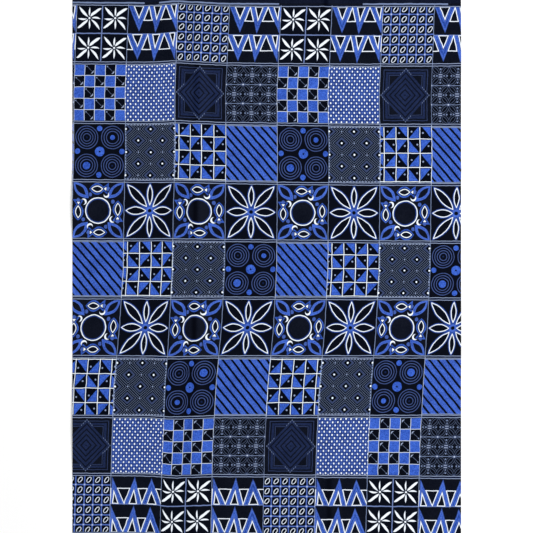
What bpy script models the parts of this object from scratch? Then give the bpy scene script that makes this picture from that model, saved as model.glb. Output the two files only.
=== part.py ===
"""A cut length of printed cotton cloth, laid out flat and face up.

The cloth is one piece, cut across from selvage to selvage. It was stored folded in upright panels,
so two pressed folds still stand as low ridges from selvage to selvage, and a short crumple runs in
from the right-hand edge. Elsewhere it lies flat, apart from a few low lifts at its rim.

Metres, +Z up. X runs along the selvages and Y from selvage to selvage, with the top of the print at
+Y. The origin is on the surface that the cloth lies on, under the middle of the cloth.
"""
import math

import bmesh
import bpy

MM = 0.001

LENGTH = 829 * MM        # along the selvages, from one cut end to the other
WIDTH = 1160 * MM        # the full loom width, selvage to selvage
THICKNESS = 1 * MM

PANEL_STRIPS = 14        # grid columns in each of the three panels between the folds
ROWS = 38                # grid rows from selvage to selvage

# Pressed folds, left to right. x_top and x_bottom are where the crown meets the two selvages, rise is
# the crown's height at the selvages, middle the share of it that is left halfway, and reach the
# distance from the crown at which the cloth is flat again.
FOLDS = [
    {"x_top": -151 * MM, "x_bottom": -162 * MM, "rise": 3.2 * MM, "middle": 0.85, "reach": 24 * MM},
    {"x_top": 123 * MM, "x_bottom": 130 * MM, "rise": 2.2 * MM, "middle": 0.25, "reach": 22 * MM},
]

# The crumple at the right-hand edge: a short ridge from its faint inner end to the rim.
CRUMPLES = [
    {"inner": (330 * MM, 193 * MM), "outer": (414.5 * MM, 213 * MM), "rise": 2.4 * MM, "reach": 20 * MM},
]

# Low lifts of the rim: the place of the highest point, its height and how far the lift reaches.
LIFTS = [
    {"x": -414.5 * MM, "y": 140 * MM, "rise": 2.6 * MM, "reach": 95 * MM},
    {"x": -414.5 * MM, "y": -330 * MM, "rise": 2.0 * MM, "reach": 120 * MM},
    {"x": 414.5 * MM, "y": -120 * MM, "rise": 2.4 * MM, "reach": 110 * MM},
    {"x": 414.5 * MM, "y": 470 * MM, "rise": 1.8 * MM, "reach": 80 * MM},
    {"x": -20 * MM, "y": -580 * MM, "rise": 2.2 * MM, "reach": 100 * MM},
    {"x": 260 * MM, "y": 580 * MM, "rise": 1.8 * MM, "reach": 90 * MM},
]

# Linear red, green, blue of the cloth seen from far off, where black, blue and white run together.
CLOTH_COLOUR = (0.092, 0.124, 0.235, 1.0)
CLOTH_ROUGHNESS = 0.85


def clear_scene():
    for obj in list(bpy.data.objects):
        bpy.data.objects.remove(obj, do_unlink=True)


def down_the_cloth(y):
    """0 at the top selvage, 1 at the bottom one."""
    return 0.5 - y / WIDTH


def crown_x(fold, y):
    """Where a fold's crown lies at the height y."""
    return fold["x_top"] + (fold["x_bottom"] - fold["x_top"]) * down_the_cloth(y)


def ridge(distance, reach):
    """A pressed fold's section: 1 at its sharp crown, running out level at the reach."""
    return max(0.0, 1.0 - abs(distance) / reach) ** 2


def swell(distance, reach):
    """A soft lift's section: round at the top and level at the reach."""
    return max(0.0, 1.0 - (distance / reach) ** 2) ** 2


def fold_height(fold, x, y):
    """A fold stands highest at the selvages and is pressed lower halfway between them."""
    to_selvage = abs(2 * down_the_cloth(y) - 1)
    share = fold["middle"] + (1 - fold["middle"]) * to_selvage ** 2
    return fold["rise"] * share * ridge(x - crown_x(fold, y), fold["reach"])


def crumple_height(crumple, x, y):
    """A short ridge that grows from nothing at its inner end to full height at the rim."""
    (x0, y0), (x1, y1) = crumple["inner"], crumple["outer"]
    run = math.hypot(x1 - x0, y1 - y0)
    along = ((x - x0) * (x1 - x0) + (y - y0) * (y1 - y0)) / run
    across = ((x - x0) * (y1 - y0) - (y - y0) * (x1 - x0)) / run
    grown = min(max(along / run, 0.0), 1.0)
    return crumple["rise"] * grown * ridge(across, crumple["reach"])


def lift_height(lift, x, y):
    return lift["rise"] * swell(math.hypot(x - lift["x"], y - lift["y"]), lift["reach"])


def height(x, y):
    """The underside's height above the surface: the tallest form that reaches this place."""
    heights = [fold_height(fold, x, y) for fold in FOLDS]
    heights += [crumple_height(crumple, x, y) for crumple in CRUMPLES]
    heights += [lift_height(lift, x, y) for lift in LIFTS]
    return max(heights)


def column_x(column, y):
    """A grid column's place. Columns crowd towards the folds and the cut ends and lean with the folds."""
    rails = [-LENGTH / 2] + [crown_x(fold, y) for fold in FOLDS] + [LENGTH / 2]
    panel = min(column // PANEL_STRIPS, len(rails) - 2)
    part = (column - panel * PANEL_STRIPS) / PANEL_STRIPS
    eased = (1 - math.cos(math.pi * part)) / 2
    return rails[panel] + (rails[panel + 1] - rails[panel]) * eased


def make_cloth():
    columns = PANEL_STRIPS * (len(FOLDS) + 1)
    bm = bmesh.new()
    # A grid of unit squares, one for each column and row, whose corners are then laid in place.
    bmesh.ops.create_grid(bm, x_segments=columns, y_segments=ROWS, size=0.5)
    for vert in bm.verts:
        column = round((vert.co.x + 0.5) * columns)
        y = vert.co.y * WIDTH
        x = column_x(column, y)
        vert.co = (x, y, height(x, y))
    mesh = bpy.data.meshes.new("cloth")
    bm.to_mesh(mesh)
    bm.free()
    cloth = bpy.data.objects.new("cloth", mesh)
    bpy.context.collection.objects.link(cloth)
    thickness = cloth.modifiers.new("thickness", "SOLIDIFY")
    thickness.thickness = THICKNESS
    thickness.offset = 1.0
    mesh.shade_smooth()
    return cloth


def cotton():
    material = bpy.data.materials.new("cotton")
    material.use_nodes = True
    shader = material.node_tree.nodes["Principled BSDF"]
    shader.inputs["Base Color"].default_value = CLOTH_COLOUR
    shader.inputs["Roughness"].default_value = CLOTH_ROUGHNESS
    shader.inputs["Metallic"].default_value = 0.0
    return material


clear_scene()
make_cloth().data.materials.append(cotton())
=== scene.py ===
# %% [markdown]
# # A length of patchwork-print cotton
#
# African wax print is a plain-weave cotton that is printed with dye on both sides, so one sheet of
# cloth carries everything that can be seen. This lesson makes that sheet as one surface worked out with
# numpy, lays it on the low folds of the packed model, and draws the print with shader nodes: nine rows
# of blocks, thirteen kinds of block, each from its own few formulas.

# %% Load the packed model
import math
from functools import partialmethod

import bmesh
import bpy
import numpy as np
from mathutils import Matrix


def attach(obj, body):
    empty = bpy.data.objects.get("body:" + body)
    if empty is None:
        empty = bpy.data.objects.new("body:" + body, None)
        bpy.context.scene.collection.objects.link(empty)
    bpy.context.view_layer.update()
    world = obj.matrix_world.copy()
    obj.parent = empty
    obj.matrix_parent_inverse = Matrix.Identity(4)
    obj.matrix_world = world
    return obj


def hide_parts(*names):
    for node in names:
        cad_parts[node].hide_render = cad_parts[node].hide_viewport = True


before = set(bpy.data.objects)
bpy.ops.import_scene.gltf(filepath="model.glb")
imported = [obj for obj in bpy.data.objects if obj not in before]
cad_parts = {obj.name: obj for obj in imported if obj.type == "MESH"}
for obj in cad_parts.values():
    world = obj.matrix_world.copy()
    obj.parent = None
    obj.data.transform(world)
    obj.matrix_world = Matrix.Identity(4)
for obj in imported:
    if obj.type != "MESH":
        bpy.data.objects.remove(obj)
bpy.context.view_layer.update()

# %% [markdown]
# ## The cloth's own measure
#
# The design is drawn on squared paper, and one square of the paper is 2.134 mm of cloth. Every number
# of the print below is in these squares, counted from the cloth's top-left corner or from a block's own
# top-left corner, to the right and down, as a cutter reads it. Only the last step turns them into
# metres.

# %% Sizes of the sheet and the block
MM = 0.001
SQUARE = 829 / 388.5 * MM
LENGTH = 829 * MM  # along the selvages
WIDTH = 1160 * MM  # the full loom width
THICKNESS = 0.35 * MM  # of the real cotton
BLOCK_WIDE = 51.25  # squares
BLOCK_HIGH = 59.2  # from the middle of one seam band to the next
MIDDLE_X = BLOCK_WIDE / 2
MIDDLE_Y = BLOCK_HIGH / 2
print("a block is", round(BLOCK_WIDE * SQUARE / MM, 1), "by", round(BLOCK_HIGH * SQUARE / MM, 1), "mm")

# %% [markdown]
# ## Which block goes where
#
# The design repeats every four blocks. Each row starts its repeat at the first whole block from the
# left, and the three rows at the bottom are printed upside down, so that the cloth can be cut for a
# wearer from either selvage.

# %% The rows of blocks
ROWS = [
    ("star", "zigzag", "oval", "zigzag"),
    ("check", "dot", "dark diamond", "dark star"),
    ("circle", "lattice", "triangle", "stripe"),
    ("ring", "flower", "ring", "flower"),
    ("stripe", "triangle", "lattice", "circle"),
    ("ring", "flower", "ring", "flower"),
    ("triangle", "lattice", "circle", "stripe"),
    ("dark diamond", "dot", "check", "dark star"),
    ("oval", "zigzag", "star", "zigzag"),
]
TURNED_FROM = 6  # this row and those below it are upside down
MOTIFS = sorted({name for row in ROWS for name in row})
print(len(ROWS), "rows and", len(MOTIFS), "kinds of block")

# %% [markdown]
# ## How the print lies on the cloth
#
# A printed cotton is never square with its cut: rollers and stretching leave the rows bowed and the
# columns leaning. Two tables hold that. The first gives where the seam band above each row crosses five
# upright lines of the cloth, and the second how far each row's columns have drifted to the right there.
#
# A pressed fold takes up a little of the print, and the cloth beside it lies slack. The numbers below
# the tables say by how much, and where.

# %% The bow, the drift and the slack
STATIONS = [0, 97, 194, 291, 388.5]  # squares from the left cut edge
SEAMS = [  # squares from the top selvage's edge
    [5.9, 6.6, 7.4, 7.7, 7.5],
    [64.9, 65.4, 66.6, 67.3, 66.9],
    [124.2, 124.8, 126.1, 127.3, 127.4],
    [182.6, 183.7, 185.2, 186.2, 186.6],
    [241.5, 242.0, 243.0, 243.8, 244.3],
    [299.8, 300.1, 300.2, 300.7, 301.0],
    [358.5, 359.2, 358.8, 358.8, 359.2],
    [418.3, 418.9, 418.7, 418.2, 418.4],
    [476.2, 477.2, 477.9, 478.6, 479.6],
    [535.4, 536.1, 536.9, 537.7, 538.4],
]
DRIFT = [  # squares to the right, halfway down each row
    [3.5, 3.4, 3.6, 2.4, 2.3],
    [1.3, 1.0, 0.6, -0.3, 0.2],
    [1.5, 1.2, 1.2, 0.9, 0.9],
    [-0.4, 0.2, 0.7, 0.2, -0.6],
    [-1.3, -0.3, 0.1, -0.2, -1.1],
    [-5.2, -4.1, -2.8, -3.3, -4.2],
    [-10.5, -9.7, -8.6, -8.2, -8.1],
    [-12.5, -12.2, -11.9, -11.4, -11.0],
    [-14.2, -13.6, -13.0, -13.1, -12.5],
]
COLUMN_PITCH = 51.57  # squares on the cloth before the fold takes some of them up
TAKEN_UP = 2.4  # squares of print that stand in the left fold
TAKEN_OVER = 16.0  # squares of print over which they are taken up
FOLD_TOP, FOLD_LEANS = 119.5, -5.0  # the fold's crown, squares from the left edge
SLACK_AT = [-44, -35, -26, -17, -8, 1, 10, 19, 28]  # squares from the crown
SLACK = [0, 0.15, 0.5, 1, 1, 0.6, 0.45, 0.3, 0]  # share of the slack there
SLACK_LEFT = [1.9, 1.6, 1.7, 2.5, 2.9, 2.5, 1.1, 1.1, 2.7]  # squares to the left, row by row
SLACK_OUTWARD = 2.0  # squares up at the top selvage, and down at the bottom one

seam_slopes, drift_most = np.ptp(SEAMS, axis=1), np.abs(DRIFT).max()
print("a seam band rises or falls by up to", round(seam_slopes.max() * SQUARE / MM, 1), "mm")
print("a column drifts by up to", round(drift_most * SQUARE / MM, 1), "mm")

# %% From the print to the cloth
def stretched(table, at, where):
    """The table read between its entries, and carried straight on past both ends."""
    table, at = np.asarray(table, float), np.asarray(at, float)
    inner = np.interp(where, at, table)
    before = (table[1] - table[0]) / (at[1] - at[0]) * np.minimum(where - at[0], 0)
    after = (table[-1] - table[-2]) / (at[-1] - at[-2]) * np.maximum(where - at[-1], 0)
    return inner + before + after


def crossed_rows(values, at_rows, row):
    """Values worked out at whole rows or halfway down each, read at any place between them."""
    place = np.clip(row - at_rows, -0.75, len(values) - 0.25)
    upper = np.clip(np.floor(place).astype(int), 0, len(values) - 2)
    above = np.take_along_axis(values, upper[None], 0)[0]
    below = np.take_along_axis(values, upper[None] + 1, 0)[0]
    return above + (below - above) * (place - upper)


def place_of_print(column, row):
    """Metres on the flat cloth for a place counted in columns and rows of blocks.

    Even columns are moved by the drift at their row. Past the fold they are pulled back by what it takes
    up, along a smooth step, and beside it by the slack. At that distance from the left edge, the bowed
    seams above and below give the distance from the top, less the slack towards the nearer selvage.
    """
    even = COLUMN_PITCH * column
    drifts = np.array([stretched(drift, STATIONS, even) for drift in DRIFT])
    drifted = even + crossed_rows(drifts, 0.5, row)
    crown = FOLD_TOP + FOLD_LEANS * row / len(ROWS)
    step = np.clip((drifted - crown - TAKEN_UP / 2) / TAKEN_OVER + 0.5, 0, 1)
    slack = np.interp(drifted - crown, SLACK_AT, SLACK)
    slack_left = np.interp(row - 0.5, np.arange(len(ROWS)), SLACK_LEFT)
    right = drifted - TAKEN_UP * step * step * (3 - 2 * step) - slack_left * slack
    crossings = np.array([stretched(seam, STATIONS, right) for seam in SEAMS])
    down = crossed_rows(crossings, 0.0, row) - SLACK_OUTWARD * slack * (1 - 2 * row / len(ROWS))
    return right * SQUARE - LENGTH / 2, WIDTH / 2 - down * SQUARE


corner = np.ravel(place_of_print(np.zeros(1), np.zeros(1))) / MM
print("the print's first corner lies at", corner.round(1), "mm")

# %% [markdown]
# ## The folds that the cloth kept
#
# The cloth was stored folded in upright panels, so two pressed folds run from selvage to selvage, and a
# short crumple comes in from the right edge. Low lifts at the rim keep it from lying dead flat. The
# sizes are those of the packed model, and the same formulas are worked out here for whole arrays.

# %% Heights of the folds, the crumple and the lifts
FOLDS = [
    {"x_top": -151 * MM, "x_bottom": -162 * MM, "rise": 3.2 * MM, "middle": 0.85, "reach": 24 * MM},
    {"x_top": 123 * MM, "x_bottom": 130 * MM, "rise": 2.2 * MM, "middle": 0.25, "reach": 22 * MM},
]
CRUMPLES = [
    {"inner": (330 * MM, 193 * MM), "outer": (414.5 * MM, 213 * MM), "rise": 2.4 * MM, "reach": 20 * MM},
]
LIFTS = [  # mm from the middle to the right and up, mm of height and of reach
    (-414.5, 140, 2.6, 95),
    (-414.5, -330, 2.0, 120),
    (414.5, -120, 2.4, 110),
    (414.5, 470, 1.8, 80),
    (-20, -580, 2.2, 100),
    (260, 580, 1.8, 90),
]
RIPPLE = 0.25 * MM  # the slight waviness of cotton that was washed and pressed
WAVES = [  # radians per metre across and up, where it starts, and its share
    (41, 9, 1.0, 1.0),
    (-17, 33, 2.2, 1.0),
    (83, -31, 0.4, 0.6),
    (23, 71, 4.0, 0.6),
]


def fold_height(fold, x, y):
    """A sharp crown that leans from one selvage to the other, highest at the selvages."""
    down = 0.5 - y / WIDTH
    crown = fold["x_top"] + (fold["x_bottom"] - fold["x_top"]) * down
    share = fold["middle"] + (1 - fold["middle"]) * (2 * down - 1) ** 2
    return fold["rise"] * share * np.maximum(0, 1 - np.abs(x - crown) / fold["reach"]) ** 2


def crumple_height(crumple, x, y):
    """A short ridge that grows from nothing at its inner end to full height at the rim."""
    (x0, y0), (x1, y1) = crumple["inner"], crumple["outer"]
    run = math.hypot(x1 - x0, y1 - y0)
    along = ((x - x0) * (x1 - x0) + (y - y0) * (y1 - y0)) / run
    across = ((x - x0) * (y1 - y0) - (y - y0) * (x1 - x0)) / run
    grown = np.clip(along / run, 0, 1)
    return crumple["rise"] * grown * np.maximum(0, 1 - np.abs(across) / crumple["reach"]) ** 2


def lift_height(lift, x, y):
    """A round swelling that is level again at its reach."""
    at_x, at_y, rise, reach = (number * MM for number in lift)
    away = np.hypot(x - at_x, y - at_y) / reach
    return rise * np.maximum(0, 1 - away ** 2) ** 2


def ripple_height(x, y):
    """Two crossing pairs of long waves, lifted so that the lowest trough still lies on the surface."""
    waves = sum(share * np.sin(across * x + up * y + start) for across, up, start, share in WAVES)
    deepest = sum(share for *_, share in WAVES)
    return RIPPLE * (waves + deepest) / deepest


def underside(x, y):
    """The tallest form that reaches this place, with the ripple on top."""
    heights = [fold_height(fold, x, y) for fold in FOLDS]
    heights += [crumple_height(crumple, x, y) for crumple in CRUMPLES]
    heights += [lift_height(lift, x, y) for lift in LIFTS]
    return np.max(heights, axis=0) + ripple_height(x, y)


for fold in FOLDS:
    crown_x = (fold["x_top"] + fold["x_bottom"]) / 2
    print("halfway down, a fold is", round(float(underside(crown_x, 0.0)) / MM, 2), "mm high")

# %% [markdown]
# ## One sheet, woven past its edges and then cut
#
# A shop cuts a length off the bolt across the print, wherever the shears fall. The sheet is made the
# same way. A grid that follows the columns and rows of the print is laid out a little too large, and
# four straight cuts take it to size. So every block border falls on a line of the mesh, while the
# cloth's rim stays straight. Each face learns which block it belongs to and where in the block its
# corners lie.

# %% A grid that follows the print
FACES_ACROSS = 26  # in one block
FACES_DOWN = 12
COLUMNS = (-1, 9)  # columns of blocks, with enough to spare for the cuts
SELVAGE_HIGH = 9  # squares of grid above the first seam and below the last
SELVAGE_FACES = 3

selvage_rows = SELVAGE_HIGH / BLOCK_HIGH
row_lines = np.concatenate([
    np.linspace(-selvage_rows, 0, SELVAGE_FACES + 1)[:-1],
    np.linspace(0, len(ROWS), len(ROWS) * FACES_DOWN + 1),
    np.linspace(len(ROWS), len(ROWS) + selvage_rows, SELVAGE_FACES + 1)[1:],
])
column_lines = np.linspace(*COLUMNS, (COLUMNS[1] - COLUMNS[0]) * FACES_ACROSS + 1)
grid_column, grid_row = np.meshgrid(column_lines, row_lines)
grid_x, grid_y = place_of_print(grid_column, grid_row)
grid_z = underside(grid_x, grid_y) + THICKNESS
print("the grid has", grid_x.size, "points, up to", round(grid_z.max() / MM, 2), "mm high")

# %% Faces, their blocks and their places in the print
across, down = len(column_lines) - 1, len(row_lines) - 1
first = (np.arange(down)[:, None] * (across + 1) + np.arange(across)).ravel()
faces = np.stack([first, first + across + 1, first + across + 2, first + 1], axis=1)
corner_column = grid_column.ravel()[faces]
corner_row = grid_row.ravel()[faces]
face_column = np.floor(corner_column.mean(axis=1)).astype(int)
face_row = np.floor(corner_row.mean(axis=1)).astype(int)
in_rows = (face_row >= 0) & (face_row < len(ROWS))
block_names = np.array(ROWS)
safe_row = np.clip(face_row, 0, len(ROWS) - 1)
slots = MOTIFS + ["selvage"]
motif_slot = np.searchsorted(MOTIFS, block_names[safe_row, face_column % len(ROWS[0])])
face_slot = np.where(in_rows, motif_slot, slots.index("selvage"))
print("faces of each kind:", {name: int((face_slot == i).sum()) for i, name in enumerate(slots)})


def places_in_block():
    """Squares right and down from the block's own top-left corner, turned about its middle where the row
    is upside down. Along a selvage the squares to the right run on from block to block."""
    turned = (face_row >= TURNED_FROM)[:, None]
    origin_column = np.where(in_rows, face_column, 0)[:, None]
    origin_row = np.clip(face_row, 0, len(ROWS))[:, None]
    block_high = np.where(in_rows, BLOCK_HIGH, 0)[:, None]
    right = (corner_column - origin_column) * BLOCK_WIDE
    below = (corner_row - origin_row) * BLOCK_HIGH
    right = np.where(turned, BLOCK_WIDE - right, right)
    below = np.where(turned, block_high - below, below)
    return np.stack([right, below], axis=-1)


# %% [markdown]
# The print map can't serve for baking, because every block lies on the same squares of it. So the sheet
# gets a second map, in which the whole of it lies flat once. The thickness comes after the cuts, or the
# cuts would leave it open at its rim.

# %% Cuts and the flat map
NEAR_CUT = 0.2 * MM  # a corner this close to a cut belongs to the rim


def cut_to_size(mesh):
    """Four straight cuts along the cloth's edges. What lies outside is removed."""
    bm = bmesh.new()
    bm.from_mesh(mesh)
    for place, outward in [
        ((-LENGTH / 2, 0, 0), (-1, 0, 0)), ((LENGTH / 2, 0, 0), (1, 0, 0)),
        ((0, -WIDTH / 2, 0), (0, -1, 0)), ((0, WIDTH / 2, 0), (0, 1, 0)),
    ]:
        everything = bm.verts[:] + bm.edges[:] + bm.faces[:]
        bmesh.ops.bisect_plane(bm, geom=everything, plane_co=place, plane_no=outward, clear_outer=True)
    bm.to_mesh(mesh)
    bm.free()


def read(items, name, width, kind=np.float32):
    """One property of every item as an array."""
    values = np.empty(len(items) * width, kind)
    items.foreach_get(name, values)
    return values.reshape(-1, width) if width > 1 else values


def lay_out_flat(mesh):
    """A second map, of the whole sheet laid flat: length and width run from 0 to 1. Faces around the rim
    have their lower corners laid one thickness inward, and so keep a width of their own."""
    place = read(mesh.vertices, "co", 3)[read(mesh.loops, "vertex_index", 1, np.int32)]
    face = np.repeat(np.arange(len(mesh.polygons)), read(mesh.polygons, "loop_total", 1, np.int32))
    on_rim = np.abs(read(mesh.polygons, "normal", 3)[face, 2]) < 0.5
    lower = on_rim & (place[:, 2] < read(mesh.polygons, "center", 3)[face, 2])
    half = np.array([LENGTH, WIDTH]) / 2
    at_cut = np.abs(place[:, :2]) > half - NEAR_CUT
    inward = np.sign(place[:, :2]) * at_cut * lower[:, None] * THICKNESS
    flat = np.clip((place[:, :2] - inward) / half / 2 + 0.5, 0, 1)
    mesh.uv_layers.new(name="OFBake").uv.foreach_set("vector", flat.astype(np.float32).ravel())


# %% Lay the grid, cut it and give it its thickness
SHARP_FROM = 50  # degrees between two faces


def lay_cloth():
    """The printed sheet, with its thickness below the printed side."""
    mesh = bpy.data.meshes.new("printed side")
    points = np.stack([grid_x, grid_y, grid_z], axis=-1).reshape(-1, 3)
    mesh.from_pydata(points, [], faces)
    for _ in slots:
        mesh.materials.append(None)
    mesh.polygons.foreach_set("material_index", face_slot.astype(np.int32))
    print_map = mesh.uv_layers.new(name="print")
    print_map.uv.foreach_set("vector", places_in_block().astype(np.float32).ravel())
    cut_to_size(mesh)
    cloth = bpy.data.objects.new("printed_cloth", mesh)
    bpy.context.collection.objects.link(cloth)
    thickness = cloth.modifiers.new("thickness of the cotton", "SOLIDIFY")
    thickness.thickness = THICKNESS
    thickness.offset = -1.0
    graph = bpy.context.evaluated_depsgraph_get()
    cloth.data = bpy.data.meshes.new_from_object(
        cloth.evaluated_get(graph), preserve_all_data_layers=True, depsgraph=graph)
    cloth.data.name = "printed cloth"
    cloth.modifiers.clear()
    lay_out_flat(cloth.data)
    cloth.data.uv_layers.active = cloth.data.uv_layers["print"]
    cloth.data.shade_smooth()
    cloth.data.set_sharp_from_angle(angle=math.radians(SHARP_FROM))
    return cloth


cloth = lay_cloth()
print("the cut sheet has", len(cloth.data.polygons), "faces")

# %% [markdown]
# ## Arithmetic on wires
#
# A motif is a formula of two numbers, right and down, so it is easiest to write as arithmetic. A `Wire`
# is one value on its way through a node tree. Adding or multiplying wires adds Math nodes to the tree,
# and the motif's text stays as short as its formula.

# %% Wires
class Wire:
    """One value in a node tree. Each method adds a Math node and gives the wire that leaves it."""

    def __init__(self, tree, socket):
        self.tree = tree
        self.socket = socket

    def math(self, operation, *others, clamp=False):
        node = self.tree.nodes.new("ShaderNodeMath")
        node.operation = operation
        node.use_clamp = clamp
        for entry, value in zip(node.inputs, (self, *others)):
            feed(value, entry)
        return Wire(self.tree, node.outputs[0])

    def __rsub__(self, other):
        return self.math("MULTIPLY_ADD", -1.0, other)

    __add__ = __radd__ = partialmethod(math, "ADD")
    __sub__ = partialmethod(math, "SUBTRACT")
    __mul__ = __rmul__ = partialmethod(math, "MULTIPLY")
    __abs__ = partialmethod(math, "ABSOLUTE")
    times_plus = partialmethod(math, "MULTIPLY_ADD")  # times a factor, plus another value
    least = partialmethod(math, "MINIMUM")
    most = partialmethod(math, "MAXIMUM")
    over = partialmethod(math, "GREATER_THAN")  # 1 above the limit, 0 below it


def feed(value, entry):
    """Link a wire or a socket to an entry, or set the entry to a plain value."""
    if isinstance(value, Wire):
        value = value.socket
    if isinstance(value, bpy.types.NodeSocket):
        entry.id_data.links.new(value, entry)
    else:
        entry.default_value = value


print("a wire knows", [name for name in vars(Wire) if not name.startswith("__")])

# %% [markdown]
# A shape is given by its depth: the distance in squares from its outline, below zero inside. One
# function then prints every shape, whatever its outline is, with the soft edge of dye that has crept a
# little. Most of the design is leaves: strips whose width falls away from the middle to both ends.

# %% Fills, strokes and leaves
EDGE = 0.3  # squares over which a printed edge runs out, where the dye creeps


def fill(depth, edge=EDGE):
    """1 where the depth is below zero, 0 where it is above, with a soft edge between."""
    return depth.math("MULTIPLY_ADD", -1 / edge, 0.5, clamp=True)


def stroke(depth, width, edge=EDGE):
    """A line of the given width where the depth passes through zero."""
    return fill(abs(depth) - width / 2, edge)


def inner_line(depth, width):
    """A line of the given width just inside the outline."""
    return fill(depth) - fill(depth + width)


def near(value, pitch):
    """The distance to the nearest whole multiple of the pitch."""
    return value.math("PINGPONG", pitch / 2)


def cell(value, pitch):
    """The signed distance to the nearest whole multiple of the pitch."""
    return value.math("WRAP", pitch / 2, -pitch / 2)


def far(x, y):
    """The distance from the corner where both values are zero."""
    return (x * x + y * y).math("SQRT")


def disc(x, y, radius):
    return fill(far(x, y) - radius)


def leaf(x, y, root, tip, half, bend=0.0, blunt=False):
    """The depth outside a leaf: a strip from root to tip that is widest halfway, pointed or blunt at its
    ends. Its middle line bows to the right-hand side of the way from root to tip by the bend."""
    length = math.dist(root, tip)
    run, rise = (tip[0] - root[0]) / length, (tip[1] - root[1]) / length
    halfway = (root[0] + tip[0]) / 2 * run + (root[1] + tip[1]) / 2 * rise
    scale = 2 / length
    along = y.times_plus(rise * scale, x.times_plus(run * scale, -halfway * scale))
    side = y.times_plus(run, x.times_plus(-rise, root[0] * rise - root[1] * run))
    body = along * along
    if blunt:
        body = body * body
    body = 1.0 - body
    if bend:
        side = body.times_plus(-bend, side)
    return body.times_plus(-half, abs(side))


print("a printed edge runs out over", round(EDGE * SQUARE / MM, 2), "mm")

# %% [markdown]
# ## Shared groups: the hand, and the dyed cotton
#
# Two effects are on every block. Wax prints are cut by hand, so no line is quite straight: the first
# group moves the place in the block by a fraction of a square before anything is drawn. The second
# group takes what the drawing puts out, a share of blue and a share of bare cotton, and makes the
# cloth's colour, its gloss and the height of its threads.

# %% The tools for making a group
MIX_ENTRIES, MIX_EXIT = (0, 6, 7), 2  # a Mix node's sockets for a share and two colours


def new_group(name, inputs, outputs):
    """A node group whose sockets have the given names, its input wires and its output node. A socket
    called Colour holds a colour, and any other a number."""
    group = bpy.data.node_groups.new(name, "ShaderNodeTree")
    for way, sockets in (("INPUT", inputs), ("OUTPUT", outputs)):
        for socket in sockets:
            kind = "NodeSocketColor" if socket == "Colour" else "NodeSocketFloat"
            group.interface.new_socket(socket, in_out=way, socket_type=kind)
    entry = group.nodes.new("NodeGroupInput")
    end = group.nodes.new("NodeGroupOutput")
    return group, {name: Wire(group, entry.outputs[name]) for name in inputs}, end


def noise(tree, size, detail=0.0, roughness=0.5, stretch=None):
    """A cloudy value over the cloth whose blots are about the given size, in metres."""
    place = tree.nodes.new("ShaderNodeTexCoord").outputs["Object"]
    if stretch:
        mapping = tree.nodes.new("ShaderNodeMapping")
        mapping.inputs["Scale"].default_value = stretch
        tree.links.new(place, mapping.inputs["Vector"])
        place = mapping.outputs["Vector"]
    node = tree.nodes.new("ShaderNodeTexNoise")
    node.inputs["Scale"].default_value = 1 / size
    node.inputs["Detail"].default_value = detail
    node.inputs["Roughness"].default_value = roughness
    tree.links.new(place, node.inputs["Vector"])
    return node


def blend(tree, share, first, second, how="MIX"):
    """Two colours mixed by a share. A colour may be a socket or four numbers."""
    node = tree.nodes.new("ShaderNodeMix")
    node.data_type = "RGBA"
    node.blend_type = how
    for value, entry in zip((share, first, second), MIX_ENTRIES):
        feed(value, node.inputs[entry])
    return node.outputs[MIX_EXIT]


# %% The unsteady hand
HAND_WANDERS = 0.55  # squares, to either side
WANDER_SIZE = 14 * MM  # from one slip of the hand to the next


def unsteady_hand():
    """A place goes in and comes out moved, by two channels of the same noise."""
    group, wires, end = new_group("unsteady hand", ("Across", "Down"), ("Across", "Down"))
    wander = noise(group, WANDER_SIZE, detail=2.0)
    split = group.nodes.new("ShaderNodeSeparateColor")
    group.links.new(wander.outputs["Color"], split.inputs[0])
    for name, channel in (("Across", 0), ("Down", 1)):
        slip = Wire(group, split.outputs[channel]).times_plus(2 * HAND_WANDERS, -HAND_WANDERS)
        feed(wires[name] + slip, end.inputs[name])
    return group


HAND = unsteady_hand()
print("the hand moves a line by up to", round(HAND_WANDERS * SQUARE / MM, 1), "mm")

# %% [markdown]
# The dyed cotton starts from the black ground, lays the blue over it and then the bare cotton. Where
# only half of the cotton is bare, at the edge of every white line and in the thinnest lines, it takes a
# lavender blue. The blue is flecked, the black is mottled, and the threads run both ways as noise that
# is stretched along the warp and along the weft. Between close-set lines the ground has soaked up more
# dye, so each kind of block says how deep its black is.
#
# The folds' light and shade is painted into the colour as well: a painted shade along each crown,
# strongest in the black, and a painted sheen on the black at its right.

# %% Painted shade and sheen along the folds
# painted shade along each crown, and a painted sheen at its right
PAINTED_SHADE_STRIP = (3.0, 5.0, 6.0)  # mm right of the crown, half its width, its soft edge
SHEEN_STRIP = (22.0, 10.0, 10.0)


def beside_fold(x, y, fold):
    """Millimetres to the right of a fold's crown, and how strongly the fold is pressed at this height:
    fully at the selvages, and by the fold's own share halfway between them."""
    lean = (fold["x_bottom"] - fold["x_top"]) / WIDTH
    beside = y.times_plus(lean / MM, x.times_plus(1 / MM, -(fold["x_top"] + fold["x_bottom"]) / 2 / MM))
    to_selvage = y * (2 / WIDTH)
    return beside, (to_selvage * to_selvage).times_plus(1 - fold["middle"], fold["middle"])


def strip(beside, middle, half, soft):
    return fill(abs(beside - middle) - half, soft)


def painted_fold_shading(group):
    """Painted shade along the crowns of the two folds, and a painted sheen on the cloth at their right.
    """
    split = group.nodes.new("ShaderNodeSeparateXYZ")
    group.links.new(group.nodes.new("ShaderNodeTexCoord").outputs["Object"], split.inputs[0])
    x, y = Wire(group, split.outputs["X"]), Wire(group, split.outputs["Y"])
    crowns, sheens = [], []
    for fold in FOLDS:
        beside, pressed = beside_fold(x, y, fold)
        crowns.append(strip(beside, *PAINTED_SHADE_STRIP) * pressed)
        sheens.append(strip(beside, *SHEEN_STRIP) * pressed)
    return crowns[0].most(crowns[1]), sheens[0].most(sheens[1])


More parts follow.
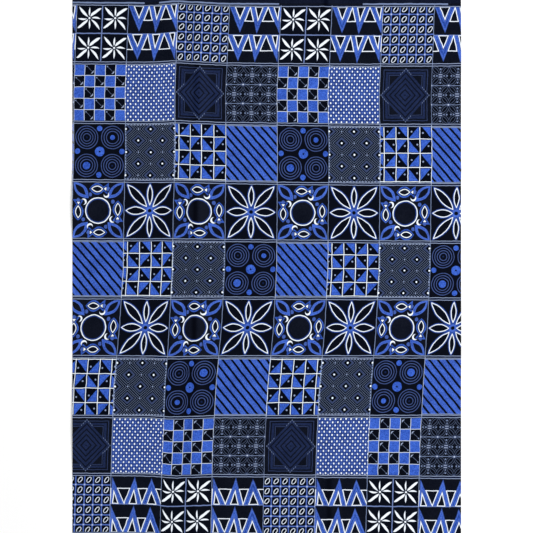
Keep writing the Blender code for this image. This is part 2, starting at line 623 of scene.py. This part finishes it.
print("a crown is crushed over", 2 * PAINTED_SHADE_STRIP[1], "mm, with a sheen of", 2 * SHEEN_STRIP[1], "mm")

# %% The dyed cotton
BLACK_DYE = (0.0052, 0.0070, 0.0145, 1)
SOAKED_BLACK = (0.0012, 0.0020, 0.0055, 1)
# the painted sheen and the painted shade of the folds
LIT_BLACK = (0.0100, 0.0125, 0.0215, 1)
PAINTED_SHADE_BLACK = (0.0004, 0.0006, 0.0022, 1)
BLUE_DYE = (0.036, 0.100, 0.480, 1)
HALF_BARE = (0.20, 0.265, 0.445, 1)
BARE_COTTON = (0.86, 0.91, 0.95, 1)
FLECK, CLOUD, THREAD = 2.6 * MM, 30 * MM, 0.6 * MM


def dyed_cotton():
    """Blue goes over the black ground and bare cotton over both, and noise makes the dyes uneven."""
    group, wires, end = new_group(
        "dyed cotton", ("Blue", "Bare", "Soaked"), ("Colour", "Roughness", "Height"))
    flecks = Wire(group, noise(group, FLECK, detail=2.0, roughness=0.6).outputs["Fac"])
    clouds = Wire(group, noise(group, CLOUD, detail=1.0).outputs["Fac"])
    strength = flecks * 2.3 + clouds * 0.9 - 0.6
    shade = group.nodes.new("ShaderNodeCombineColor")
    for entry, gain, base in zip(shade.inputs, (1.2, 1.0, 0.75), (-0.2, 0.0, 0.25)):
        feed(strength * gain + base, entry)
    blue = blend(group, 1.0, BLUE_DYE, shade.outputs[0], "MULTIPLY")
    black = blend(group, 1.0, BLACK_DYE, shade.outputs[0], "MULTIPLY")
    # painted shade along the fold crowns, and a painted sheen at their right, in the black
    shaded, lit = painted_fold_shading(group)
    black = blend(group, lit * 0.6, black, LIT_BLACK)
    black = blend(group, shaded, black, PAINTED_SHADE_BLACK)
    black = blend(group, wires["Soaked"], black, SOAKED_BLACK)
    colour = blend(group, wires["Blue"], black, blue)
    bare = wires["Bare"]
    colour = blend(group, bare.math("MULTIPLY", 2.0, clamp=True), colour, HALF_BARE)
    colour = blend(group, bare.math("MULTIPLY_ADD", 2.0, -1.0, clamp=True), colour, BARE_COTTON)
    # a faint painted shade over every colour along the fold crowns
    colour = blend(group, shaded * 0.12, colour, PAINTED_SHADE_BLACK)
    warp = Wire(group, noise(group, THREAD, stretch=(1, 0.08, 1)).outputs["Fac"])
    weft = Wire(group, noise(group, THREAD, stretch=(0.08, 1, 1)).outputs["Fac"])
    threads = warp.most(weft)
    feed(colour, end.inputs["Colour"])
    feed(flecks * 0.12 + threads * -0.1 + 0.78, end.inputs["Roughness"])
    feed(threads, end.inputs["Height"])
    return group


COTTON = dyed_cotton()
print("the dyed cotton is made with", len(COTTON.nodes), "nodes")

# %% [markdown]
# ## The motifs
#
# Each kind of block is drawn from a few formulas, because a picture laid over the cloth is only as
# sharp as its pixels. A drawing is given two wires, squares to the right and down from the block's
# corner, and gives back the share of blue and the share of bare cotton. Thin lines that look grey or
# slate from afar are a small share of bare cotton. The border is the same for all.

# %% The border, and how a drawing is kept
SEAM_LINE = 1.15  # squares from the middle of a seam band to each of its two pale lines
PICTURE_FROM = 1.9  # and to the picture
BLOCKS = {}  # by name: its node group, and how far its ground is soaked, 0 to 1


def bordered(x, y, blue, bare, side=0.5, side_width=0.5):
    """The picture kept inside the block, with navy in the seam band above and below, a pale line on each
    side of the band, and a pale line where two blocks of a row meet."""
    to_band, to_side = near(y, BLOCK_HIGH), near(x, BLOCK_WIDE)
    within = fill(PICTURE_FROM - to_band)
    blue = (blue * within).most(fill(to_band - 0.5) * 0.06)
    pale = (stroke(to_band - SEAM_LINE, 0.55) * 0.6).most(fill(to_side - side_width / 2) * side)
    return blue, (bare * within).most(pale)


def keep_block(drawing, soaked):
    """A node group that holds the drawing, under the block's name."""
    name = drawing.__name__.replace("_", " ")
    group, wires, end = new_group(name + " block", ("Across", "Down"), ("Blue", "Bare"))
    for socket, wire in zip(("Blue", "Bare"), drawing(wires["Across"], wires["Down"])):
        feed(wire, end.inputs[socket])
    BLOCKS[name] = (group, soaked)
    print(name, "block drawn with", len(group.nodes), "nodes")


# %% [markdown]
# Star blocks have a pale blue cross, with an eight-petalled star in each of its four cells. No two
# petals are alike, so each is listed, as a leaf counted from the star's middle.

# %% Star blocks
STAR_MIDDLE, STAR_STEP = (12.7, 14.2), (25.7, 29.8)
STAR_PETALS = [  # root, tip, half width, bend, and whether it is blunt
    ((-1.2, -1.0), (-10.4, -11.4), 1.25, -0.45),
    ((1.0, -1.5), (11.9, -10.0), 1.3, -0.7, True),
    ((1.6, 1.0), (10.8, 11.8), 1.15, -0.8),
    ((-1.2, 1.2), (-11.6, 10.2), 1.2, -0.5, True),
    ((-0.1, -1.8), (0.3, -10.9), 0.8),
    ((0.1, 1.5), (0.3, 11.2), 0.75, -0.35),
    ((2.0, 0.0), (11.3, 0.9), 0.9, -0.9),
    ((-2.2, 0.5), (-11.0, 0.4), 0.85, -0.7),
]


def star(x, y):
    """Blue along the cross, and bare inside every petal."""
    cross = stroke(x - MIDDLE_X, 1.0).most(stroke(y - MIDDLE_Y, 1.0)) * 0.7
    lower = y.over(MIDDLE_Y)
    star_x = cell(x - STAR_MIDDLE[0], STAR_STEP[0])
    star_y = lower.times_plus(-STAR_STEP[1], y - STAR_MIDDLE[1])
    bare = disc(star_x, star_y, 1.0)
    for petal in STAR_PETALS:
        bare = bare.most(fill(leaf(star_x, star_y, *petal)))
    return bordered(x, y, cross, bare.most(cross * 0.5))


keep_block(star, soaked=0.8)

# %% [markdown]
# Zigzag blocks have two tiers of three broad blue V shapes. Each holds a white-edged black triangle
# that points down, and another points up between two of them. A V is two slanting lines, so four
# numbers hold one.

# %% Zigzag blocks
TIER = 28.6  # squares from one tier to the next
V_SHAPES = [  # left, right and apex across, and the apex's depth
    (0.2, 20.3, 11.3, 26.0),
    (21.0, 37.8, 28.0, 27.2),
    (38.4, 51.4, 50.6, 26.8),
]
HOLLOWS = [
    (5.1, 15.6, 10.9, 13.4),
    (25.1, 33.8, 28.6, 15.0),
    (43.4, 50.0, 48.7, 14.2),
]
WHITE_EDGE = 0.85
BASE_LINE = 14.8  # depth of the line on which the triangles between the Vs stand
FIRST_V = 8.0  # left of this, the top tier has no triangle


def outside_v(x, depth, left, right, apex, deep):
    """How far a place is beyond the nearer of the two slanting sides of a V."""
    beyond_left = depth.times_plus((apex - left) / deep, left - x)
    beyond_right = depth.times_plus((right - apex) / deep, x - right)
    return beyond_left.most(beyond_right) * 0.93


def outside_all(x, depth, shapes):
    """How far a place is beyond the sides of the nearest of several Vs."""
    outside = outside_v(x, depth, *shapes[0])
    for shape in shapes[1:]:
        outside = outside.least(outside_v(x, depth, *shape))
    return outside


def zigzag(x, y):
    """Blue inside the Vs and outside their hollows, darker in the middle of each arm."""
    lower = y.over(MIDDLE_Y - 0.2)
    depth = lower.times_plus(-TIER, y - 1.6)
    x_here = lower.times_plus(0.5, x)
    outside = outside_all(x_here, depth, V_SHAPES)
    hollow = outside_all(x_here, depth, HOLLOWS).most(-0.2 - depth)
    base = lower.times_plus(1.0, BASE_LINE)
    edge = fill(outside - WHITE_EDGE).most(fill(base - WHITE_EDGE - depth))
    between = fill(0 - outside) * fill(depth - base) * edge * (lower + x.over(FIRST_V)).least(1.0)
    ledge = stroke(depth + 0.3, 1.2)
    light = stroke(outside + 0.7, 0.9).most(stroke(hollow - 0.7, 0.9)) * 0.08
    sides = stroke(outside + 1.1, 1.1).most(stroke(hollow - 1.1, 1.1))
    arms = (fill(outside) - fill(hollow)) * sides.times_plus(0.38, 0.62)
    blue = arms.most(ledge * 0.5)
    bare = between.most(inner_line(hollow, WHITE_EDGE)).most(ledge * 0.25).most(light * blue)
    return bordered(x, y, blue, bare)


keep_block(zigzag, soaked=0.5)

# %% [markdown]
# Oval blocks are a blue grid with pale crossings. Each black cell holds a leaning white oval, a larger
# ellipse less a smaller one.

# %% Oval blocks
OVAL_WIDE, OVAL_HIGH = 8.75, 10.0  # of a cell
CROSSING_X, CROSSING_Y = 25.9, 28.85  # the crossing nearest to the block's middle
LEAN = math.radians(34)


def ellipse(long_way, short_way, long_half, short_half, steepness):
    """1 inside an ellipse: where the distance, counted in its half axes, is less than one."""
    return fill((far(long_way * (1 / long_half), short_way * (1 / short_half)) - 1.0) * steepness)


def oval(x, y):
    """Blue near a grid line or a crossing, and bare between the two ellipses."""
    to_column, to_row = near(x - CROSSING_X, OVAL_WIDE), near(y - CROSSING_Y, OVAL_HIGH)
    crossing = far(to_column, to_row)
    grid = fill(to_column.least(to_row) - 0.6).most(fill(crossing - 1.4)) * 0.85
    oval_x = cell(x - CROSSING_X - OVAL_WIDE / 2, OVAL_WIDE)
    oval_y = cell(y - CROSSING_Y - OVAL_HIGH / 2, OVAL_HIGH)
    long_way = oval_x.times_plus(math.sin(LEAN), oval_y * -math.cos(LEAN))
    short_way = oval_x.times_plus(math.cos(LEAN), oval_y * math.sin(LEAN))
    outer = ellipse(long_way, short_way, 3.3, 1.95, 2.4)
    inner = ellipse(long_way, short_way, 2.7, 1.3, 1.6)
    bare = (outer - inner).most(fill(crossing - 0.9) * 0.65).most(grid * 0.14)
    return bordered(x, y, grid, bare)


keep_block(oval, soaked=1.0)

# %% [markdown]
# Check blocks are a chequerboard of five by five. Every black square carries a small hoe, drawn once in
# the square's own measure: a knob, a thin handle and a curved blade.

# %% Check blocks
CHECK_WIDE, CHECK_HIGH = 10.25, 11.38
CHECK_TOP = 1.15


def check(x, y):
    """Blue where column and row add up to an even number, with pale lines between."""
    below = y - CHECK_TOP
    column = (x * (1 / CHECK_WIDE)).math("FLOOR")
    row = (below * (1 / CHECK_HIGH)).math("FLOOR")
    black = (column + row).math("PINGPONG", 1.0)
    grid = fill(near(x, CHECK_WIDE).least(near(below, CHECK_HIGH)) - 0.3) * 0.82
    tool_x, tool_y = column.times_plus(-CHECK_WIDE, x), row.times_plus(-CHECK_HIGH, below)
    handle = fill(leaf(tool_x, tool_y, (1.5, 1.9), (7.4, 7.7), 0.14, blunt=True)) * 0.34
    knob = disc(tool_x - 1.9, tool_y - 2.2, 0.65) * 0.45
    blade = fill(leaf(tool_x, tool_y, (8.8, 6.3), (6.1, 9.5), 0.55, bend=-0.7)) * 0.6
    bare = grid.most(handle.most(knob).most(blade) * black)
    return bordered(x, y, 1.0 - black, bare, side=0.65)


keep_block(check, soaked=0.9)

# %% [markdown]
# Dot blocks are rows of white dots on blue, each row moved by half a step, with a faint dot in every
# gap and a row of dashes along the seams.

# %% Dot blocks
DOT_PITCH, DOT_ROW = 5.18, 3.13
DOT_LEFT, DOT_TOP = 0.1, 3.3  # the first dot of the first row


def dot(x, y):
    """Bare near the nearest dot of the nearest row. Odd rows are moved to the right."""
    row = y.times_plus(1 / DOT_ROW, 0.5 - DOT_TOP / DOT_ROW).math("FLOOR")
    odd = row.math("PINGPONG", 1.0)
    shifted = odd.times_plus(-DOT_PITCH / 2, x - DOT_LEFT)
    dot_y = cell(y - DOT_TOP, DOT_ROW) * 0.76
    white = disc(cell(shifted, DOT_PITCH), dot_y, 0.75)
    faint = disc(cell(shifted - DOT_PITCH / 2, DOT_PITCH), dot_y, 0.65)
    dashes = stroke(near(y, BLOCK_HIGH) - 2.2, 0.9) * fill(near(x - 2.6, DOT_PITCH) - 0.9) * 0.8
    bare = white.most(faint * 0.15).most(dashes)
    return bordered(x, y, faint.times_plus(0.5, 0.45), bare, side=0.55, side_width=0.8)


keep_block(dot, soaked=0.2)

# %% [markdown]
# The two dark blocks are nearly black on black: their slate lines are a small share of blue, and only
# the brightest spots are bare. The first has nested diamonds before nested frames.

# %% Dark diamond blocks
DIAMOND_WIDE, DIAMOND_HIGH = 20.4, 22.3  # half the width and height of the diamond that counts as 1
DIAMOND_EDGE = 1.17
DIAMOND_STEP = 0.2475


def dark_diamond(x, y):
    """A diamond is where the shares of its half width and half height add up to a sum."""
    aside, away = abs(x - 25.3), abs(y - 29.7)
    diamond = aside.times_plus(1 / DIAMOND_WIDE, away * (1 / DIAMOND_HIGH))
    outside = diamond - DIAMOND_EDGE
    rings = stroke(near(diamond, DIAMOND_STEP), 0.08, 0.03) * fill(diamond - 1.1, 0.1)
    body = fill(outside, 0.03) * (1.0 - rings)
    around = fill(0 - outside, 0.05)
    frame_depth = (aside - 21.6).most(away - 24.9)
    thin = stroke(frame_depth, 0.7).most(stroke(frame_depth + 5.4, 0.7)) * around
    band = (fill(frame_depth + 1.9) - fill(frame_depth + 4.3)) * around
    dashed = fill(5.5 - abs(aside - 11), 0.5) * fill(near(aside, 1.7) - 0.45)
    tips = stroke(outside, 0.05, 0.03) * dashed * 0.3
    blue = (body * 0.08).most(band * 0.08).most(thin * 0.12)
    bare = (thin * 0.045).most(tips).most(body * 0.012).most(band * 0.012)
    return bordered(x, y, blue, bare, side=0.28)


keep_block(dark_diamond, soaked=0.4)

# %% [markdown]
# Dark star blocks have nine cells of thin looped lines round a bright middle. One quarter of a cell is
# drawn, and mirrored.

# %% Dark star blocks
DARK_CELL_WIDE, DARK_CELL_HIGH = 17.1, 18.9


def dark_star(x, y):
    """The loops are the outlines of two leaves from the cell's middle to its corner."""
    aside, away = near(x - MIDDLE_X, DARK_CELL_WIDE), near(y - 29.7, DARK_CELL_HIGH)
    inner_loop = stroke(leaf(aside, away, (1.2, 1.4), (8.2, 9.0), 1.5), 0.42)
    outer_loop = stroke(leaf(aside, away, (0.2, 0.2), (8.9, 9.8), 3.4), 0.42)
    lines = inner_loop.most(outer_loop)
    node = far(DARK_CELL_WIDE / 2 - aside, DARK_CELL_HIGH / 2 - away)
    dots = disc(aside, away - 6.7, 0.75).most(disc(aside - 6.4, away, 0.85) * 0.8)
    small = disc(aside, away - 3.6, 0.65).most(disc(aside - 3.7, away, 0.7))
    bars = stroke(away - 1.1, 0.6) * fill(aside - 1.8)
    bare = (lines * 0.17).most(fill(9.2 - away) * 0.45).most(fill(8.3 - aside) * 0.015)
    bare = bare.most(fill(node - 0.8) * 0.7).most(dots * 0.45).most(small * 0.4).most(bars * 0.65)
    blue = (lines * 0.03).most(fill(node - 2.2) * 0.06).most(disc(aside, away, 2.4) * 0.05)
    return bordered(x, y, blue, bare, side=0.36)


keep_block(dark_star, soaked=1.0)

# %% [markdown]
# Circle blocks hold four sets of rings round a blue disc. Two of the sets have a blue disc of their own
# in place of the innermost ring.

# %% Circle blocks
RING_PITCH = 2.45
SMALL_DISCS = [(25.7, 6.3, 2.65), (25.5, 53.2, 2.65), (3.5, 29.3, 2.6), (47.8, 29.4, 2.6)]


def circle(x, y):
    """Rings are where the distance from the set's middle is near a whole number of steps."""
    lower, right = y.over(MIDDLE_Y), x.over(MIDDLE_X)
    set_x = cell(x - 12.9, 25.6)
    set_y = lower.times_plus(-28.5, y - 15.3) * 0.955
    out = far(set_x, set_y)
    own_disc = abs(right - lower)
    rings = stroke(cell(out - 3.6, RING_PITCH), 0.75) * fill(out - 12.0) * fill(2.4 - out)
    rings = rings * (1.0 - own_disc * fill(out - 4.9))
    middle = disc(x - 25.7, (y - 29.6) * 0.96, 4.65) - disc(x - 25.7, y - 29.6, 0.9)
    discs = middle.most(fill(lower.times_plus(-1.3, out - 2.4)) * own_disc)
    for at_x, at_y, size in SMALL_DISCS:
        discs = discs.most(disc(x - at_x, (y - at_y) * 0.95, size))
    faint = disc(set_x, set_y, 0.9) * (1.0 - own_disc) * 0.12
    return bordered(x, y, discs.most(rings * 0.34).most(faint), rings * 0.09, side=0.3)


keep_block(circle, soaked=0.8)

# %% [markdown]
# Lattice blocks are nested diamonds, staggered, with a white dot in each. Along its two slanting ways
# the lattice is a plain square grid, so it is drawn there.

# %% Lattice blocks
LATTICE_MIDDLE = (25.4, 29.9)
LATTICE_WIDE, LATTICE_HIGH = 24.8, 23.3  # of one diamond


def lattice(x, y):
    """A diamond is where the larger of the two slanting distances is a fixed one."""
    right = (x - LATTICE_MIDDLE[0]) * (1 / LATTICE_WIDE)
    below = (y - LATTICE_MIDDLE[1]) * (1 / LATTICE_HIGH)
    first, second = cell(right + below, 1.0), cell(right - below, 1.0)
    nested = abs(first).most(abs(second)) * LATTICE_WIDE
    middle_x = abs(first + second) * (LATTICE_WIDE / 2)
    middle_y = abs(first - second) * (LATTICE_HIGH / 2)
    band = fill(4.0 - nested) - fill(6.7 - nested)
    lines = stroke(nested - 8.6, 0.5).most(stroke(nested - 11.1, 0.5))
    crossing = disc(middle_x, middle_y - LATTICE_HIGH / 2, 0.7) * 0.6
    crossing = crossing.most(disc(middle_x - LATTICE_WIDE / 2, middle_y, 0.7) * 0.35)
    dashes = stroke(near(y, BLOCK_HIGH) - 2.2, 0.9) * fill(near(x, 3.1) - 1.0) * 0.6
    side_dots = fill(near(x, BLOCK_WIDE) - 1.0) * fill(near(y, 3.0) - 0.8) * 0.5
    bare = disc(middle_x, middle_y, 0.95).most(lines * 0.34).most(crossing)
    bare = bare.most(band * 0.08).most(dashes).most(side_dots)
    return bordered(x, y, band * 0.12, bare, side=0.35)


keep_block(lattice, soaked=1.0)

# %% [markdown]
# Triangle blocks are squares cut by a diagonal, blue on one side and black with a pale dot on the
# other. The diagonal turns from square to square, and a narrow column stands at the left.

# %% Triangle blocks
NARROW, SQUARE_WIDE, SQUARE_HIGH = 3.9, 11.85, 14.3


def triangle(x, y):
    """The diagonal rises where column and row are both odd or both even."""
    right, below = x - NARROW, y + 0.55
    column = (right * (1 / SQUARE_WIDE)).math("FLOOR")
    row = (below * (1 / SQUARE_HIGH)).math("FLOOR")
    odd_column, odd_row = column.math("PINGPONG", 1.0), row.math("PINGPONG", 1.0)
    part_x = right.times_plus(1 / SQUARE_WIDE, 0 - column)
    part_y = below.times_plus(1 / SQUARE_HIGH, 0 - row)
    rising = 1.0 - abs(odd_column - odd_row)
    beyond = rising.times_plus(-1.0, part_x) + (rising.times_plus(2.0, -1.0) * part_y)
    beyond = beyond * odd_row.times_plus(-2.0, 1.0)
    grid_depth = near(right, SQUARE_WIDE).least(near(below, SQUARE_HIGH))
    grid = fill(grid_depth - 0.36)
    blue = fill(beyond * -9.1 + 0.3) * fill(1.0 - grid_depth) * fill(y - 56.3)
    dot_x = part_x - odd_row.times_plus(0.47, 0.31) + odd_column * 0.05
    dot_y = part_y - odd_row.times_plus(-0.09, 0.48) - odd_column * 0.1
    dots = disc(dot_x * SQUARE_WIDE, dot_y * SQUARE_HIGH, 0.85) * 0.55
    return bordered(x, y, blue, grid.most(dots), side=0.65, side_width=0.7)


keep_block(triangle, soaked=1.0)

# %% [markdown]
# Stripe blocks are blue with slanting black lines, and fine pale flecks stand in rows along them.

# %% Stripe blocks
STRIPE_PITCH = 8.6  # squares, measured level
STRIPE_FALL = 1.16  # squares down for each square across


def stripe(x, y):
    """Black near every whole step across the slant, with flecks on a grid along it."""
    across = y.times_plus(-1 / STRIPE_FALL, x + 1.7)
    along = y.times_plus(0.772, x * 0.635)
    line = fill(near(across, STRIPE_PITCH) - 1.35)
    fleck_across = cell(across - 1.08, STRIPE_PITCH / 4) * 0.77
    flecks = disc(fleck_across, cell(along + across * 0.4, 1.9), 0.6)
    to_band = near(y, BLOCK_HIGH)
    frame_line = fill(PICTURE_FROM - to_band) * fill(to_band - 2.5) * 0.55
    blue = (1.0 - line) * flecks.times_plus(0.1, 0.93)
    bare = (flecks * blue * 0.08).most(frame_line)
    return bordered(x, y, blue, bare, side=0.7, side_width=0.7)


keep_block(stripe, soaked=1.0)

# %% [markdown]
# Ring blocks turn round their middle. One quarter is drawn, with a fish, its tail and a hook, and the
# place is turned into it first. The quarters are narrower at the sides, as the block is. One corner's
# leaf is mirrored into the other three.

# %% Ring blocks
SIDEWAYS = 0.89  # the block's quarters at its sides, against those above and below
CORNER_LEAF = ((24.8, 28.0), (9.6, 12.0), 5.3)
CORNER_HOLLOW = ((23.0, 26.0), (12.6, 15.3), 2.75)
RING_MIDDLE_Y = 30.0
FISH_Y = 21.9  # squares from the block's middle to the fish


def ring(x, y):
    """In a quarter, a runs to the right-hand side of the way out, and b is below zero."""
    level, upright = x - MIDDLE_X, y - RING_MIDDLE_Y
    wide = level * (1 / SIDEWAYS)
    above = abs(upright).over(abs(wide))
    at_side = upright * wide.math("SIGN")
    at_end = wide * upright.math("SIGN") * -1.0
    a = above * (at_end - at_side) + at_side
    b = abs(upright).most(abs(wide)) * -1.0
    fish = leaf(a, b, (-8.0, -FISH_Y), (5.2, -FISH_Y), 3.3)
    eye = leaf(a, b, (-6.8, -FISH_Y), (3.9, -FISH_Y), 2.4)
    tail = (abs(b + FISH_Y) - (a - 6.1) * 0.75).most(a - 8.6)
    hook = (far(a - 8.9, b + 15.9) - 3.15).most(2.75 - far(a - 8.4, b + 17.3))
    white = fill(fish.least(tail).least(hook)) * (1.0 - fill(eye))
    halo = stroke(fish.least(tail) - 1.7, 1.7) * 0.8
    blots = disc(a + 9.0, b + 16.2, 2.0).most(disc(a - 10.6, b + 22.0, 1.9)) * 0.7
    round_out = far(level, upright * 0.95)
    blue_rim = stroke(round_out - 11.0, 0.9) * 0.45
    aside, away = abs(level), abs(y - MIDDLE_Y)
    outer, hollow = leaf(aside, away, *CORNER_LEAF), leaf(aside, away, *CORNER_HOLLOW)
    leaves = fill(outer) - fill(hollow)
    free = fill(13.8 - round_out) * fill(0.9 - outer) * fill(0.7 - hook)
    blue = leaves.most(halo.most(blots) * free).most(blue_rim)
    light = stroke(outer + 0.6, 0.8).most(stroke(hollow - 0.5, 0.8)) * leaves * 0.08
    bare = white.most(stroke(round_out - 12.15, 1.0)).most(light).most(blots * free * 0.1)
    return bordered(x, y, blue, bare)


keep_block(ring, soaked=0.3)

# %% [markdown]
# Flower blocks have eight long petals with white edges and a faint blue halo, round a blue middle.
# Three petals are drawn, and mirrored for the others.

# %% Flower blocks
FLOWER_PETALS = [
    ((0, 5.1), (0, 26.9), 2.9),
    ((3.3, 0), (24.0, 0), 4.2),
    ((2.7, 3.5), (22.8, 26.5), 4.3),
]


def flower(x, y):
    """Bare just inside the outline of the nearest petal, and blue just outside it."""
    level, upright = x - 25.5, y - 29.7
    aside, away = abs(level), abs(upright)
    petals = leaf(aside, away, *FLOWER_PETALS[0])
    for petal in FLOWER_PETALS[1:]:
        petals = petals.least(leaf(aside, away, *petal))
    out = far(level, upright)
    halo = stroke(petals - 0.5, 0.9) * 0.55
    streaks = fill(0 - petals) * fill(out - 9.0, 3.0) * fill(2.0 - out) * 0.6
    heart = disc(level, upright, 4.0) - disc(level, upright, 1.9)
    tips = fill(aside - 2.0) * fill(27.6 - away) * fill(away - 28.8) * 0.6
    blue = halo.most(streaks).most(heart).most(tips)
    return bordered(x, y, blue, inner_line(petals, 0.9).most(heart * 0.05))


keep_block(flower, soaked=0.8)

# %% [markdown]
# The selvage is a narrow black strip with a pale double line along the first seam. Every six blocks,
# the dye runs solid black over the line twice: a short break and a long one.

# %% The selvage
BREAKS = [(74.5, 7.4), (244.8, 42.2)]  # squares to the middle of a break, and half its length
BREAKS_REPEAT = 305


def selvage(x, y):
    """A wide and a narrow line, bare where no break is near."""
    breaks = [fill(near(x - middle, BREAKS_REPEAT) - half) for middle, half in BREAKS]
    line = (stroke(y + 1.6, 0.8) * 0.5).most((fill(y + 0.4) - fill(y + 1.3)) * 0.3)
    return fill(y + PICTURE_FROM) * 0.015, line * (1.0 - breaks[0].most(breaks[1]))


keep_block(selvage, soaked=0.3)

# %% [markdown]
# ## One material for each kind of block
#
# One material could pick the drawing by a number, but every spot would then work out all fourteen. So
# each kind of block has its own, with the same chain: the print map gives the place in the block, the
# hand moves it, the block's group draws on it, and the cotton group turns the drawing into cloth. The
# shader and its fixed values stay in the material itself.

# %% Materials
def placed(tree, group):
    node = tree.nodes.new("ShaderNodeGroup")
    node.node_tree = group
    return node


def printed_cotton(name):
    """Cotton printed with one kind of block."""
    material = bpy.data.materials.new("cotton with " + name)
    material.use_nodes = True
    tree = material.node_tree
    shader = tree.nodes["Principled BSDF"]
    shader.inputs["Specular IOR Level"].default_value = 0.02
    place = tree.nodes.new("ShaderNodeUVMap")
    place.uv_map = "print"
    split = tree.nodes.new("ShaderNodeSeparateXYZ")
    block, soaked = BLOCKS[name]
    hand, motif, cotton = placed(tree, HAND), placed(tree, block), placed(tree, COTTON)
    cotton.inputs["Soaked"].default_value = soaked
    bump = tree.nodes.new("ShaderNodeBump")
    bump.inputs["Strength"].default_value = 0.5
    bump.inputs["Distance"].default_value = 0.08 * MM
    for start, end in [
        (place.outputs["UV"], split.inputs[0]),
        (split.outputs["X"], hand.inputs["Across"]), (split.outputs["Y"], hand.inputs["Down"]),
        (hand.outputs["Across"], motif.inputs["Across"]), (hand.outputs["Down"], motif.inputs["Down"]),
        (motif.outputs["Blue"], cotton.inputs["Blue"]), (motif.outputs["Bare"], cotton.inputs["Bare"]),
        (cotton.outputs["Colour"], shader.inputs["Base Color"]),
        (cotton.outputs["Roughness"], shader.inputs["Roughness"]),
        (cotton.outputs["Height"], bump.inputs["Height"]),
        (bump.outputs["Normal"], shader.inputs["Normal"]),
    ]:
        feed(start, end)
    return material


for index, name in enumerate(slots):
    cloth.data.materials[index] = printed_cotton(name)
print("the cloth has", len(cloth.data.materials), "materials")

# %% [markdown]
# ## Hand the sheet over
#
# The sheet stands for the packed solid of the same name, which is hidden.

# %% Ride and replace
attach(cloth, "root")
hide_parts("cloth")
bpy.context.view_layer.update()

# %% [markdown]
# ## Studio
#
# The cloth lies on a white table. The table is one plain face, so large that no view shows its end.

# %% Table
TABLE_REACH = 30.0  # metres from its middle to its edge


def table():
    """A square face of white paper at the height where the cloth lies."""
    mesh = bpy.data.meshes.new("white table")
    corners = [(x * TABLE_REACH, y * TABLE_REACH, 0) for x, y in ((-1, -1), (1, -1), (1, 1), (-1, 1))]
    mesh.from_pydata(corners, [], [(0, 1, 2, 3)])
    paper = bpy.data.materials.new("white paper")
    paper.use_nodes = True
    shader = paper.node_tree.nodes["Principled BSDF"]
    shader.inputs["Base Color"].default_value = (0.95, 0.95, 0.95, 1)
    shader.inputs["Roughness"].default_value = 0.9
    shader.inputs["Specular IOR Level"].default_value = 0.0
    mesh.materials.append(paper)
    floor = bpy.data.objects.new("table", mesh)
    bpy.context.collection.objects.link(floor)


table()
print("the table reaches", TABLE_REACH, "m from the cloth's middle")

# %% [markdown]
# One softbox hangs above, and a stronger one stands low at the right, so that the pressed folds show as
# a dark side and a lighter one. A white room fills the shadows.

# %% Lights
def softbox(name, place, size, power):
    """A square light that faces the middle of the cloth."""
    light = bpy.data.lights.new(name, "AREA")
    light.size = size
    light.energy = power
    box = bpy.data.objects.new(name, light)
    bpy.context.collection.objects.link(box)
    far_off = math.sqrt(sum(part * part for part in place))
    box.location = place
    box.rotation_euler = (0, math.acos(place[2] / far_off), math.atan2(place[1], place[0]))
    print(name, "hangs", round(far_off, 2), "m from the cloth's middle")


softbox("softbox at the right", (4.4, 0.8, 3.0), 2.0, 260)
softbox("softbox above", (-0.6, 0.4, 4.5), 3.0, 45)
world = bpy.data.worlds.new("white room")
world.use_nodes = True
background = world.node_tree.nodes["Background"]
background.inputs["Color"].default_value = (1, 1, 1, 1)
background.inputs["Strength"].default_value = 0.5
bpy.context.scene.world = world
bpy.context.scene.view_settings.view_transform = "Standard"

# %% [markdown]
# The camera looks straight down, from the height at which its frame takes in what the photograph shows.
# A long lens keeps the sheet's rim from leaning outwards.

# %% Camera
VIEW_WIDE = 533 * SQUARE  # what the frame takes in at the cloth
VIEW_MIDDLE = (-0.25 * SQUARE, 3.25 * SQUARE)
LENS, SENSOR = 85, 36  # millimetres

camera_data = bpy.data.cameras.new("camera above the table")
camera_data.lens = LENS
camera_data.sensor_width = SENSOR
camera = bpy.data.objects.new("camera above the table", camera_data)
camera.location = (*VIEW_MIDDLE, VIEW_WIDE * LENS / SENSOR)
bpy.context.collection.objects.link(camera)
bpy.context.scene.camera = camera
print("the camera is", round(camera.location.z, 3), "m above the table")
